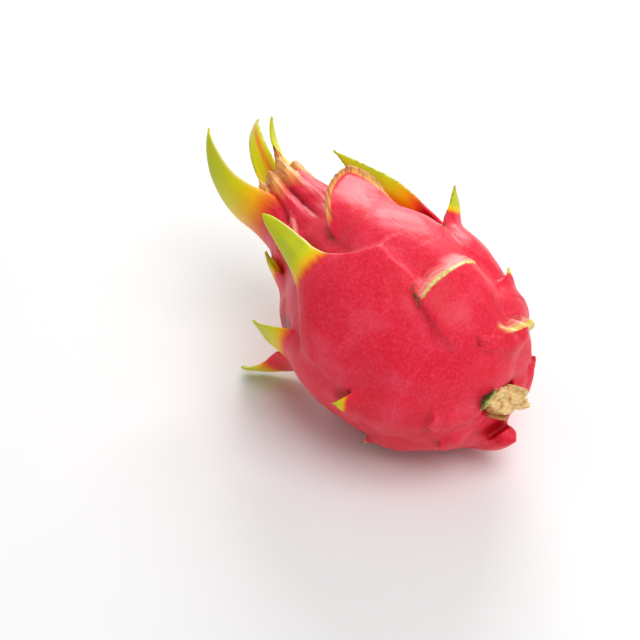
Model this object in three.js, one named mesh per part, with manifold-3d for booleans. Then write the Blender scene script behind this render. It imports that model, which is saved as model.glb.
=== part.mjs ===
// A dragon fruit lying on its side: a waxy round body with leafy scales, the short tube that the flower
// left at its crown, the withered flower in that tube, and the cut stub of the stem.
// Millimetres, +Z up, crown towards -X. The origin is on the surface it lies on, under its middle.
import * as THREE from 'three';
import { mergeVertices } from 'three/addons/utils/BufferGeometryUtils.js';
import Module from 'manifold-3d';

const wasm = await Module();
wasm.setup();

// Everything is laid out on a straight fruit first. "Along" runs on its axis from the stem end to the
// crown, azimuth goes round it: 0 is nearly on top, 90 on the far side, 180 nearly on the belly.

// Driving dimensions, mm and degrees
const TILT = 8.1; // the axis climbs this much towards the crown
const ROLL = 8.5; // of azimuth 0 from the top towards the far side
const STEM_END_HEIGHT = 36.8; // of the axis at the stem end, which presses the belly 1 mm flat
const BEND = 5; // sideways bend of the axis towards both ends
const BEND_TOWARDS = 45;
const BEND_MIDDLE = 62;
const BODY_OUTLINE = [
  [1.5, 6], [-1.5, 11], [-0.5, 18], [4, 26], [12, 34], [24, 40], [38, 43.5], [54, 44], [70, 41],
  [84, 34], [96, 26], [106, 20], [118, 16], [128, 13.5], [138, 12],
]; // [along, radius] from the lip of the stem dimple to the rim of the crown tube
const DIMPLE = { floor: 5, radius: 5.7 };
const TUBE = { wall: 2.2, floor: 127, ribs: 14, ribHeight: 0.9, ribsFrom: 104 };
const BODY_SIDES = 28; // two for each rib of the tube
const OUTLINE_STEPS = 24;
const GAP = 0.3; // between two pieces that grew together

// Scales. Each follows the body for "hug" mm from its root, then stands free for "free" mm, turned out by
// "lift" and along its length by "curl" degrees. "base" is the width at the root, "shoulder" where it is
// widest, both as parts of the whole. "point" and "blunt" shape the end, "cup" curves it across, "sway"
// swings the end aside, and "rise" is its height over the skin where it comes free.
const SCALE = {
  rise: 2, liftOver: 0.4, curl: 0, sway: 0, base: 0.6, shoulder: 0.35, point: 1.5, blunt: 1, cup: 0.02,
};
const SCALE_ROOT_DEPTH = 1.6; // of the outer face below the skin, where a scale begins
const SCALE_RISES_OVER = 0.8; // of the length that follows the body
const HOOD = { shoulder: 0.45, point: 3, blunt: 0.7 };
const LANCE = { shoulder: 0.4, point: 1.8, blunt: 0.9 };
const STREAMER = { point: 1.6, blunt: 0.8, cup: 0.06 };
const FINGER = { point: 2, blunt: 0.5 };

const SHOWN_SCALES = [
  // the broad one next to the stem, with a cut-off looking margin
  { az: -21, root: 0, hug: 38, free: 8, width: 44, lift: 22, sway: -4, shoulder: 0.5, point: 5, blunt: 0.6 },
  // the broad one beside it, drawn out in a beak
  { az: -54, root: 22, hug: 44, free: 40, width: 50, lift: 12, curl: 12, shoulder: 0.4, point: 1, blunt: 2.1 },
  // the hood on top
  { ...HOOD, az: 6, root: 38, hug: 42, free: 24, width: 48, lift: 32, curl: -14 },
  // the long straight one behind the hood, and the short upright one
  { ...LANCE, az: 60, root: 34, hug: 32, free: 72, width: 26, lift: 0 },
  { ...LANCE, az: 36, root: 24, hug: 32, free: 20, width: 26, lift: 38, curl: 6, point: 1.5, blunt: 1.2 },
  // the small tip on the shoulder and the folded one over the stem
  { az: 40, root: 7, hug: 25, free: 5, width: 18, lift: 10, point: 1.2, blunt: 1.2, rise: 0.6 },
  { az: 14, root: -1, hug: 12, free: 9, width: 36, lift: 40, sway: 3, blunt: 0.9 },
  // the streamers at the crown
  { az: -96, root: 102, hug: 12, free: 67, width: 17, lift: 48, curl: -54, point: 1.8, cup: 0.06 },
  { ...STREAMER, az: 150, root: 118, hug: 12, free: 50, width: 20, lift: 14, curl: -10, sway: -8 },
  { ...STREAMER, az: 46, root: 110, hug: 18, free: 34, width: 8, lift: 2, curl: 40, rise: 0.5 },
  // the dry one on the rim of the tube, and two small ones on its side
  { az: 24, root: 120, hug: 14, free: 14, width: 9, lift: 4, curl: 20, blunt: 0.8, rise: 0.4 },
  { az: 30, root: 104, hug: 24, free: 8, width: 15, lift: 6, rise: 1 },
  { az: -42, root: 86, hug: 32, free: 4, width: 12, lift: 8, rise: 1.2 },
  // the fleshy fingers round the stem, of which one lies over the end towards it
  { ...FINGER, az: 88, root: -0.5, hug: 8, free: 4, width: 8, lift: 8, sway: -5 },
  { ...FINGER, az: 170, root: 6, hug: 0.5, free: 19, width: 9, lift: 187, liftOver: 0.05, sway: -5.5 },
];

// Two stiff scales under the fruit reach down to the surface and steady the crown end.
const PROP_SCALES = [
  { ...LANCE, az: 138, root: 44, hug: 26, free: 42, width: 36, lift: 67, curl: -22 },
  { ...LANCE, az: -152, root: 42, hug: 26, free: 42, width: 36, lift: 67, curl: -22, point: 1.5 },
];

// Where the other scales grow, tier by tier: evenly over an arc of the side away from the shown ones.
const TIERS = [
  { ...FINGER, from: 116, to: 142, count: 2, root: 1, hug: 5, free: 4, width: 12, lift: 18 },
  { ...FINGER, from: -138, to: -98, count: 2, root: 1, hug: 8, free: 5, width: 12, lift: 12 },
  { from: 92, to: 134, count: 2, root: 8, hug: 26, free: 10, width: 34, lift: 22, blunt: 0.8 },
  { from: -150, to: -98, count: 2, root: 8, hug: 26, free: 10, width: 34, lift: 22, blunt: 0.8 },
  { from: 108, to: 108, count: 1, root: 40, hug: 32, free: 26, width: 38, lift: 22, point: 1.3 },
  { from: -110, to: -110, count: 1, root: 36, hug: 32, free: 26, width: 38, lift: 22, point: 1.3 },
  { from: 85, to: 235, count: 4, root: 74, hug: 22, free: 22, width: 26, lift: 20, point: 1.3 },
  { from: 90, to: 235, count: 3, root: 100, hug: 20, free: 20, width: 18, lift: 16, point: 1.3 },
  { from: -60, to: -10, count: 2, root: 124, hug: 13, free: 4, width: 8, lift: 4, rise: 0.5, blunt: 0.8 },
];
const UNEVENNESS = { az: 5, root: 2, size: 0.12 }; // of the tiers' scales, up or down

const BLADE = { rootThickness: 6.4, tipThickness: 1.4, thinning: 1.5, marginThins: 0.5, endWidth: 1.4 };
const BLADE_CELLS = [[14, [5, 2]], [30, [7, 4]], [60, [9, 6]]]; // up to this width: rows and columns
const STEM = {
  radius: 5.2, length: 13, sides: 24, slant: 0.18, bend: 4, bendTowards: 60, flutes: 5, fluteDepth: 0.1,
};
const FLOWER = {
  radius: 8.6, thickness: 4, sides: 24,
  lobes: 6, lobeLength: 19, lobeWidth: 8, lobeThickness: 1.6, lobeAt: 5.4,
};

// Colours
const SKIN = { color: 0xdf2f55, roughness: 0.42, metalness: 0 };
const STEM_WOOD = { color: 0xc9a774, roughness: 0.85, metalness: 0 };
const DRIED = { color: 0xa9713f, roughness: 0.9, metalness: 0 };

// Small maths
const rad = THREE.MathUtils.degToRad;
const clamp01 = (x) => THREE.MathUtils.clamp(x, 0, 1);
const ease = (x) => THREE.MathUtils.smoothstep(x, 0, 1);

// A steady uneven number from -1 to 1 for the k-th of a set.
const uneven = (k, set) => Math.sin(12.9 * k + 78.2 * set + 1.3);

// The body's outline as a smooth curve, and its radius at a place along the axis.
const outline = new THREE.SplineCurve(BODY_OUTLINE.map(([along, r]) => new THREE.Vector2(r, along)));
const fineOutline = outline.getPoints(400);
const lip = fineOutline.reduce((best, p, i) => (p.y < fineOutline[best].y ? i : best), 0);
const outerOutline = fineOutline.slice(lip);

function radiusAt(along) {
  const next = outerOutline.findIndex((p) => p.y >= along);
  if (next === 0) return outerOutline[0].x;
  if (next < 0) return outerOutline.at(-1).x;
  const a = outerOutline[next - 1];
  const b = outerOutline[next];
  return THREE.MathUtils.mapLinear(along, a.y, b.y, a.x, b.x);
}

// From the straight fruit to the bent one as it lies.
const roll = new THREE.Matrix4().makeRotationZ(rad(ROLL));
const lie = new THREE.Matrix4()
  .makeBasis(
    new THREE.Vector3(Math.sin(rad(TILT)), 0, Math.cos(rad(TILT))),
    new THREE.Vector3(0, 1, 0),
    new THREE.Vector3(-Math.cos(rad(TILT)), 0, Math.sin(rad(TILT))),
  )
  .setPosition(0, 0, STEM_END_HEIGHT)
  .multiply(roll);

function layDown(geometry) {
  const place = geometry.attributes.position;
  const p = new THREE.Vector3();
  for (let i = 0; i < place.count; i += 1) {
    p.fromBufferAttribute(place, i);
    const bend = BEND * ((p.z - BEND_MIDDLE) / BEND_MIDDLE) ** 2 - 1;
    p.x += bend * Math.cos(rad(BEND_TOWARDS));
    p.y += bend * Math.sin(rad(BEND_TOWARDS));
    p.applyMatrix4(lie);
    place.setXYZ(i, p.x, p.y, p.z);
  }
  return geometry;
}

// Closed geometry to solid and back
function solidOf(geometry) {
  geometry.deleteAttribute('normal');
  geometry.deleteAttribute('uv');
  const merged = mergeVertices(geometry);
  return new wasm.Manifold(new wasm.Mesh({
    numProp: 3,
    vertProperties: new Float32Array(merged.attributes.position.array),
    triVerts: new Uint32Array(merged.index.array),
  }));
}

function geometryOf(solid) {
  const mesh = solid.getMesh();
  const geometry = new THREE.BufferGeometry();
  geometry.setAttribute('position', new THREE.BufferAttribute(mesh.vertProperties, 3));
  geometry.setIndex(new THREE.BufferAttribute(mesh.triVerts, 1));
  geometry.computeVertexNormals();
  return geometry;
}

// Turns a profile of [along, radius] points round the fruit's axis. "shape" may change each point's radius.
function turned(points, sides, shape) {
  const geometry = new THREE.LatheGeometry(points.map(([along, r]) => new THREE.Vector2(r, along)), sides);
  geometry.rotateX(Math.PI / 2);
  const place = geometry.attributes.position;
  for (let i = 0; i < place.count; i += 1) {
    const radius = Math.hypot(place.getX(i), place.getY(i));
    const azimuth = Math.atan2(place.getY(i), place.getX(i));
    const along = place.getZ(i);
    const [newRadius, newAlong] = radius > 0.01 ? shape(radius, azimuth, along) : [0, along];
    place.setXYZ(i, newRadius * Math.cos(azimuth), newRadius * Math.sin(azimuth), newAlong);
  }
  return geometry;
}

// The body, hollow at the stem dimple and in the crown tube, with ribs that grow along the tube to its rim.
function makeBody() {
  const outer = outline.getPoints(OUTLINE_STEPS).map((p) => [p.y, p.x]);
  const [rimAlong, rimRadius] = outer.at(-1);
  const inner = rimRadius - TUBE.wall;
  const profile = [
    [DIMPLE.floor, 0], [DIMPLE.floor, DIMPLE.radius], ...outer,
    [rimAlong, inner], [TUBE.floor, inner - 0.4], [TUBE.floor, 0],
  ];
  return turned(profile, BODY_SIDES, (radius, azimuth, along) => {
    const grown = ease((along - TUBE.ribsFrom) / (rimAlong - TUBE.ribsFrom));
    const onOutside = radius > inner + 0.5 ? 1 : 0;
    return [radius + onOutside * grown * TUBE.ribHeight * Math.cos(TUBE.ribs * azimuth), along];
  });
}

// The middle line of a scale's outer face in its own plane through the axis.
function scaleLine(scale, steps) {
  const length = scale.hug + scale.free;
  const step = length / steps;
  const line = [];
  let along = scale.root;
  let direction = 0;
  let place = new THREE.Vector2();
  for (let i = 0; i <= steps; i += 1) {
    const s = i * step;
    const free = clamp01((s - scale.hug) / scale.free);
    let heading = direction;
    if (s <= scale.hug) {
      direction = Math.atan2(radiusAt(along + 0.5) - radiusAt(along - 0.5), 1);
      heading = direction;
      const risen = ease(s / (SCALE_RISES_OVER * scale.hug));
      const above = THREE.MathUtils.lerp(-SCALE_ROOT_DEPTH, scale.rise, risen);
      place = new THREE.Vector2(
        along - Math.sin(direction) * above,
        radiusAt(along) + Math.cos(direction) * above,
      );
      along += Math.cos(direction) * step;
    } else {
      heading = direction + rad(scale.lift) * ease(free / scale.liftOver) + rad(scale.curl) * free ** 1.5;
      place = place.clone();
      place.x += step * Math.cos(heading);
      place.y += step * Math.sin(heading);
    }
    line.push({ place, heading, free, part: i / steps });
  }
  return line;
}

function scaleHalfWidth(scale, part) {
  const past = clamp01((part - scale.shoulder) / (1 - scale.shoulder));
  const widening = scale.base + (1 - scale.base) * ease(part / scale.shoulder);
  const half = (scale.width / 2) * widening * (1 - past ** scale.point) ** scale.blunt;
  return Math.max(half, BLADE.endWidth / 2);
}

// One scale as a closed blade, "rows" by "columns" cells on each face, split alike on both.
function makeScale(given) {
  const scale = { ...SCALE, ...given };
  const [rows, columns] = BLADE_CELLS.find(([upTo]) => scale.width <= upTo)[1];
  const fine = 6;
  const line = scaleLine(scale, rows * fine);
  const azimuth = rad(scale.az);
  const positions = [];
  for (const face of [0, 1]) {
    for (let i = 0; i <= rows; i += 1) {
      const { place, heading, free, part } = line[i * fine];
      const half = scaleHalfWidth(scale, part);
      const round = (1 - ease(free)) / (radiusAt(place.x) + 2) + ease(free) * scale.cup;
      const towardsRoot = (1 - part) ** BLADE.thinning;
      const thick = THREE.MathUtils.lerp(BLADE.tipThickness, BLADE.rootThickness, towardsRoot);
      for (let j = 0; j <= columns; j += 1) {
        const across = (2 * j) / columns - 1;
        const side = across * half;
        const depth = (round * side * side) / 2 + face * thick * (1 - BLADE.marginThins * across * across);
        const y = side + scale.sway * part * part;
        const along = place.x + Math.sin(heading) * depth;
        const radius = place.y - Math.cos(heading) * depth;
        positions.push(
          radius * Math.cos(azimuth) - y * Math.sin(azimuth),
          radius * Math.sin(azimuth) + y * Math.cos(azimuth),
          along,
        );
      }
    }
  }
  const at = (face, i, j) => (face * (rows + 1) + i) * (columns + 1) + j;
  const index = [];
  const quad = (a, b, c, d) => index.push(a, b, c, a, c, d);
  for (let i = 0; i < rows; i += 1) {
    for (let j = 0; j < columns; j += 1) {
      quad(at(0, i, j), at(0, i, j + 1), at(0, i + 1, j + 1), at(0, i + 1, j));
      index.push(at(1, i, j), at(1, i + 1, j + 1), at(1, i, j + 1));
      index.push(at(1, i, j), at(1, i + 1, j), at(1, i + 1, j + 1));
    }
    quad(at(1, i, columns), at(1, i + 1, columns), at(0, i + 1, columns), at(0, i, columns));
    quad(at(1, i, 0), at(0, i, 0), at(0, i + 1, 0), at(1, i + 1, 0));
  }
  for (let j = 0; j < columns; j += 1) {
    quad(at(1, rows, j), at(0, rows, j), at(0, rows, j + 1), at(1, rows, j + 1));
    quad(at(1, 0, j), at(1, 0, j + 1), at(0, 0, j + 1), at(0, 0, j));
  }
  const geometry = new THREE.BufferGeometry();
  geometry.setAttribute('position', new THREE.Float32BufferAttribute(positions, 3));
  geometry.setIndex(index);
  return geometry;
}

// The scales of one tier, each a little off its even place and size.
function tierScales(tier, set) {
  return Array.from({ length: tier.count }, (_, k) => {
    const step = tier.count > 1 ? (tier.to - tier.from) / (tier.count - 1) : 0;
    const size = 1 + UNEVENNESS.size * uneven(k, set + 0.5);
    return {
      ...tier,
      az: tier.from + k * step + UNEVENNESS.az * uneven(k, set),
      root: tier.root + UNEVENNESS.root * uneven(k, set + 0.25),
      free: tier.free * size,
      width: tier.width * size,
    };
  });
}

// The whole fruit: body and scales grown together, pressed flat where it touches the surface below.
function makeFruit() {
  const scales = [...SHOWN_SCALES, ...PROP_SCALES, ...TIERS.flatMap(tierScales)];
  let fruit = solidOf(layDown(makeBody()));
  for (const scale of scales) fruit = fruit.add(solidOf(layDown(makeScale(scale))));
  const below = new THREE.BoxGeometry(500, 500, 60).translate(-80, 0, -30);
  return fruit.subtract(solidOf(below));
}

// The stub of the stem in its dimple: rough round, cut a little slantwise.
function makeStem() {
  const end = DIMPLE.floor - GAP - STEM.length;
  const profile = [
    [end, 0], [end, STEM.radius - 1], [end + 1, STEM.radius], [end / 2, STEM.radius], [0, STEM.radius],
    [DIMPLE.floor - GAP, STEM.radius], [DIMPLE.floor - GAP, 0],
  ];
  const solid = turned(profile, STEM.sides, (radius, azimuth, along) => {
    const outside = ease((2 * along) / end);
    const flute = 1 - STEM.fluteDepth * outside * (1 - Math.cos(STEM.flutes * azimuth));
    const cut = along < 0 ? STEM.slant * radius * Math.cos(azimuth) : 0;
    return [radius * flute, along + cut];
  });
  const place = solid.attributes.position;
  for (let i = 0; i < place.count; i += 1) {
    const aside = STEM.bend * clamp01(place.getZ(i) / end) ** 1.5;
    place.setX(i, place.getX(i) + aside * Math.cos(rad(STEM.bendTowards)));
    place.setY(i, place.getY(i) + aside * Math.sin(rad(STEM.bendTowards)));
  }
  return solidOf(layDown(solid));
}

// The withered flower: a dry plug in the crown tube with shrivelled lobes standing out of it.
function makeFlower() {
  const foot = TUBE.floor + GAP;
  const top = foot + FLOWER.thickness;
  const plug = turned(
    [[foot, 0], [foot, FLOWER.radius], [top, FLOWER.radius - 0.6], [top, 0]],
    FLOWER.sides,
    (radius, azimuth, along) => [radius, along],
  );
  let flower = solidOf(layDown(plug));
  for (let k = 0; k < FLOWER.lobes; k += 1) {
    flower = flower.add(solidOf(layDown(makeLobe(k))));
  }
  return flower;
}

// One shrivelled lobe: narrower towards its tip, bulging outwards and hollow across.
function makeLobe(k) {
  const length = FLOWER.lobeLength * (1 + 0.25 * uneven(k, TIERS.length));
  const azimuth = (2 * Math.PI * k) / FLOWER.lobes;
  const lobe = new THREE.BoxGeometry(FLOWER.lobeThickness, FLOWER.lobeWidth, length, 1, 2, 4);
  lobe.translate(0, 0, length / 2);
  const place = lobe.attributes.position;
  for (let i = 0; i < place.count; i += 1) {
    const part = clamp01(place.getZ(i) / length);
    const y = place.getY(i) * (1 - 0.75 * part ** 1.5);
    const bulge = 2.6 * Math.sin(2.4 * part) - (y * y) / 14;
    const x = place.getX(i) + FLOWER.lobeAt + bulge;
    place.setXYZ(i, x, y, TUBE.floor + GAP + 1 + place.getZ(i));
  }
  lobe.rotateZ(azimuth);
  return lobe;
}

function meshOf(name, solid, look) {
  const mesh = new THREE.Mesh(geometryOf(solid), new THREE.MeshStandardMaterial(look));
  mesh.name = name;
  return mesh;
}

const dragonFruit = new THREE.Group();
dragonFruit.add(meshOf('fruit', makeFruit(), SKIN));
dragonFruit.add(meshOf('cut_stem', makeStem(), STEM_WOOD));
dragonFruit.add(meshOf('withered_flower', makeFlower(), DRIED));

// The middle of the whole goes over the origin.
const middle = new THREE.Box3().setFromObject(dragonFruit).getCenter(new THREE.Vector3());
dragonFruit.position.set(-middle.x, -middle.y, 0);

export default dragonFruit;
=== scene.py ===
# %% [markdown]
# # A dragon fruit
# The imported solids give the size, the place and the main shapes. Here the fruit gets what makes it look
# grown: scales that flow out of the skin, folds, thin margins, and a skin that turns from pink to lime.
# Everything is in the frame of the solids, so the first step loads them and keeps their box.

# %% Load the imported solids
import math

import bpy
import numpy as np
from mathutils import Matrix, Vector


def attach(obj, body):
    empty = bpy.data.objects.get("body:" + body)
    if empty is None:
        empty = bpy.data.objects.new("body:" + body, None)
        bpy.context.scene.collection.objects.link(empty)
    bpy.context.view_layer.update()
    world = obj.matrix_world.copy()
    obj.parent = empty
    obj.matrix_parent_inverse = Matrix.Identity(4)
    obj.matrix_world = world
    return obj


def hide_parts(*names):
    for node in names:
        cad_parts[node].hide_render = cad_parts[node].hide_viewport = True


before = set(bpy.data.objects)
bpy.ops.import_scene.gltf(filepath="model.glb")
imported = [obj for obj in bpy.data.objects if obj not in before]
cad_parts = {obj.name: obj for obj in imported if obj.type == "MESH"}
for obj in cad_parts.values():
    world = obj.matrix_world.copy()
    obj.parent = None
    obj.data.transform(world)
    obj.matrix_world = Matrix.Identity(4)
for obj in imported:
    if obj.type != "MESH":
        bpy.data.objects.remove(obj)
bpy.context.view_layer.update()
print("solids:", sorted(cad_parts))

# %% [markdown]
# ## The straight fruit and the lying one
# A fruit is easiest to describe standing straight: "along" runs on its axis from the stem end to the
# crown, and azimuth goes round it. A second step bends it a little and lays it down where the solids lie.
# These are the same named sizes as in the source of the solids, in millimetres and degrees.

# %% Sizes of the body, and how it lies
MM = 0.001
TILT = 8.1
ROLL = 8.5
STEM_END = (84.389, -0.141, 36.8)
BEND = 5.0
BEND_TOWARDS = 45.0
BEND_MIDDLE = 62.0
BODY_OUTLINE = [
    (1.5, 6), (-1.5, 11), (-0.5, 18), (4, 26), (12, 34), (24, 40), (38, 43.5), (54, 44), (70, 41),
    (84, 34), (96, 26), (106, 20), (118, 16), (128, 13.5), (138, 12),
]
DIMPLE_FLOOR, DIMPLE_RADIUS = 5.0, 5.7
TUBE_WALL, TUBE_FLOOR = 2.2, 127.0


def turned_over(points):
    """Straight to lying, without the bend, in millimetres."""
    tilt, roll = math.radians(TILT), math.radians(ROLL)
    over = np.array([
        [math.sin(tilt), 0, -math.cos(tilt)],
        [0, 1, 0],
        [math.cos(tilt), 0, math.sin(tilt)],
    ])
    around = np.array([
        [math.cos(roll), -math.sin(roll), 0],
        [math.sin(roll), math.cos(roll), 0],
        [0, 0, 1],
    ])
    return points @ (over @ around).T + np.array(STEM_END)


def lay_down(points):
    """Millimetres on the straight fruit to metres where it lies."""
    bent = np.array(points, float)
    bend = BEND * ((bent[:, 2] - BEND_MIDDLE) / BEND_MIDDLE) ** 2 - 1
    towards = math.radians(BEND_TOWARDS)
    bent[:, 0] += bend * math.cos(towards)
    bent[:, 1] += bend * math.sin(towards)
    return turned_over(bent) * MM


def ease(x):
    x = np.clip(x, 0, 1)
    return x * x * (3 - 2 * x)


def mix(a, b, t):
    return a + (b - a) * t


# %% [markdown]
# ## The body as a distance
# Scales that flow out of the skin are hard to model face by face. A distance field makes it simple: each
# form is a function that says how far a point is from its surface, and two forms melt into one where
# their distances are blended. The body's function only needs its outline, turned round the axis.

# %% The outline as a smooth curve
def smooth_curve(points, count):
    """A uniform Catmull-Rom curve through the points."""
    p = np.array(points, float)
    t = np.linspace(0, len(p) - 1, count + 1)
    i = np.minimum(t.astype(int), len(p) - 2)
    w = (t - i)[:, None]
    p0, p1, p2, p3 = p[np.maximum(i - 1, 0)], p[i], p[i + 1], p[np.minimum(i + 2, len(p) - 1)]
    v0, v1 = (p2 - p0) / 2, (p3 - p1) / 2
    return (2 * p1 - 2 * p2 + v0 + v1) * w**3 + (3 * p2 - 3 * p1 - 2 * v0 - v1) * w**2 + v0 * w + p1


outline = smooth_curve(BODY_OUTLINE, 400)
outer = outline[np.argmin(outline[:, 0]):]


def radius_at(along):
    return np.interp(along, outer[:, 0], outer[:, 1])


rim_along, rim_radius = outline[-1]
section = np.vstack([
    [(DIMPLE_FLOOR, 0), (DIMPLE_FLOOR, DIMPLE_RADIUS)],
    outline,
    [(rim_along, rim_radius - TUBE_WALL), (TUBE_FLOOR, rim_radius - TUBE_WALL - 0.4), (TUBE_FLOOR, 0)],
])
print("widest radius:", round(float(outer[:, 1].max()), 1), "mm")


# %% Its distance, kept in a table
TABLE_STEP = 0.5
BODY_TABLE_FROM, BODY_TABLE_TO = (-12, 0), (192, 90)


class Table:
    """Values on a grid of (along, radius), read between its points."""

    def __init__(self, low, high, step=TABLE_STEP):
        self.low, self.step = np.array(low, float), step
        self.shape = tuple(np.ceil((np.array(high) - self.low) / step).astype(int) + 1)
        rows = self.low[0] + step * np.arange(self.shape[0])
        columns = self.low[1] + step * np.arange(self.shape[1])
        self.points = np.stack(np.meshgrid(rows, columns, indexing="ij"), -1).reshape(-1, 2)

    def keep(self, *values):
        self.values = [v.reshape(self.shape).astype(np.float32) for v in values]
        return self

    def read(self, along, radius):
        i = np.clip((along - self.low[0]) / self.step, 0, self.shape[0] - 1.001)
        j = np.clip((radius - self.low[1]) / self.step, 0, self.shape[1] - 1.001)
        a, b = i.astype(np.int32), j.astype(np.int32)
        u, v = (i - a).astype(np.float32), (j - b).astype(np.float32)
        return [
            (1 - u) * ((1 - v) * t[a, b] + v * t[a, b + 1])
            + u * ((1 - v) * t[a + 1, b] + v * t[a + 1, b + 1])
            for t in self.values
        ]


def section_distance(points):
    """Signed distance to the closed section, negative inside it."""
    nearest = np.full(len(points), 1e9)
    inside = np.zeros(len(points), bool)
    for a, b in zip(section[:-1], section[1:]):
        edge = b - a
        t = np.clip((points - a) @ edge / max(edge @ edge, 1e-9), 0, 1)
        nearest = np.minimum(nearest, np.linalg.norm(points - a - t[:, None] * edge, axis=1))
        if a[1] != b[1]:
            crosses = (a[1] > points[:, 1]) != (b[1] > points[:, 1])
            at = a[0] + (points[:, 1] - a[1]) * edge[0] / edge[1]
            inside ^= crosses & (points[:, 0] < at)
    return np.where(inside, -nearest, nearest)


body_table = Table(BODY_TABLE_FROM, BODY_TABLE_TO)
body_table.keep(section_distance(body_table.points + (0, 1e-4)))

# %% [markdown]
# ## The ribbed tube at the crown
# The tube is made of the lowest parts of the flower's scales, so it has broad lengthwise ribs with sharp
# furrows between them, and an uneven dry rim. Ribs are a change of the radius that depends on azimuth.

# %% The tube's ribs and uneven rim
RIBS = 10
RIB_HEIGHT = 3.4
RIBS_FROM, RIBS_TO = 90.0, 132.0
RIB_LEAN = 0.0012
RIB_SHARPNESS = 0.75
FINE_CREASES, CREASE_DEPTH = 37, 0.35
RIM_FROM, RIM_FADE, RIM_ON_RIBS, RIM_UNEVEN = 124, 12, 3.2, 1.3
# Near the stem end one side is hollow and the underside is full:
# azimuth and along of the middle, width in radians, length, and how much lower the skin is there.
UNEVEN_SIDES = [(1.15, 13.0, 0.5, 9.0, 4.5), (2.9, 4.0, 0.65, 10.0, -3.0)]
SLIMMER = 1.0  # between the scales, whose outer faces stand higher by as much


def rib_wave(azimuth, along):
    """0 in a furrow and 1 on a rib."""
    lean = RIB_LEAN * (along - RIBS_FROM)
    uneven = 0.14 * np.sin(2 * azimuth + 1.1) + 0.08 * np.sin(3 * azimuth + 4.0)
    return np.abs(np.cos(RIBS / 2 * (azimuth + uneven + lean))) ** RIB_SHARPNESS


def round_axis(points):
    """Azimuth, radius and place along the axis."""
    x, y, along = points[:, 0], points[:, 1], points[:, 2]
    return np.arctan2(y, x), np.hypot(x, y), along


def body_distance(points):
    azimuth, radius, along = round_axis(points)
    grown = ease((along - RIBS_FROM) / (RIBS_TO - RIBS_FROM))
    wave = rib_wave(azimuth, along)
    crease = CREASE_DEPTH * np.sin(FINE_CREASES * azimuth + 0.05 * along) * grown
    radius_there = radius - grown * (RIB_HEIGHT * (wave - 0.6) + crease)
    at_rim = ease((along - RIM_FROM) / RIM_FADE)
    along_there = along - at_rim * (RIM_ON_RIBS * (wave - 0.5) + RIM_UNEVEN * np.sin(3 * azimuth + 2))
    slimmer = SLIMMER * ease((along - 4) / 12) * (1 - ease((along - 100) / 20))
    distance = body_table.read(along_there, np.maximum(radius_there, 0))[0] + slimmer
    for turn, middle, wide, long, by in UNEVEN_SIDES:
        away = (2 - 2 * np.cos(azimuth - turn)) / wide**2 + ((along - middle) / long) ** 2
        distance = distance + by * np.exp(-away) * ease(radius / 10)
    return distance


# %% [markdown]
# ## Scales
# A scale is the skin itself drawn out into a leaf: it follows the body from its root, comes free, and
# turns out or in. Its distance comes from the middle line of its outer face: how far a point is below that
# face, how far it is from the middle, and how far past the tip. The first numbers are those of the solids.
# The ones after them are only seen from close by: skewed tips, lips, dives, folds and margins.

# %% Numbers that every scale has
SCALE = dict(
    hug=20, free=10, width=20, lift=10, rise=2, lift_over=0.4, curl=0, sway=0,
    base=0.6, shoulder=0.35, point=1.5, blunt=1, cup=0.02,
    skew=0, bow=0, twist=0, tip_width=0, tip_from=0.7, tip_thickness=1.4, root_thickness=6.4, wave=0.04,
    lip=0, lip_out=0, lip_from=0.6, folds=0, fold_depth=0, keel=0, dive=0, dive_from=0.05, slant=0,
    sink=3.2, sink_lean=0, melt=5.0, melt_free=0.9, turn=0.62, ripe=0.86, rim=0, rim_left=-2,
    burn=0, burn_from=0.5, dry=0, dry_rim=0, dark_from=1, stripe=0, stripe_at=0, pale=0,
)
SCALE_ROOT_DEPTH = 1.6
SCALE_RISES_OVER = 0.8
NEVER = dict(turn=2, ripe=3)  # never turns green
LANCE = dict(shoulder=0.4, point=1.8, blunt=0.9)
STREAMER = dict(point=1.6, blunt=0.8, cup=0.06)
FINGER = dict(NEVER, point=3, blunt=0.5, tip_thickness=3.6)

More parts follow.
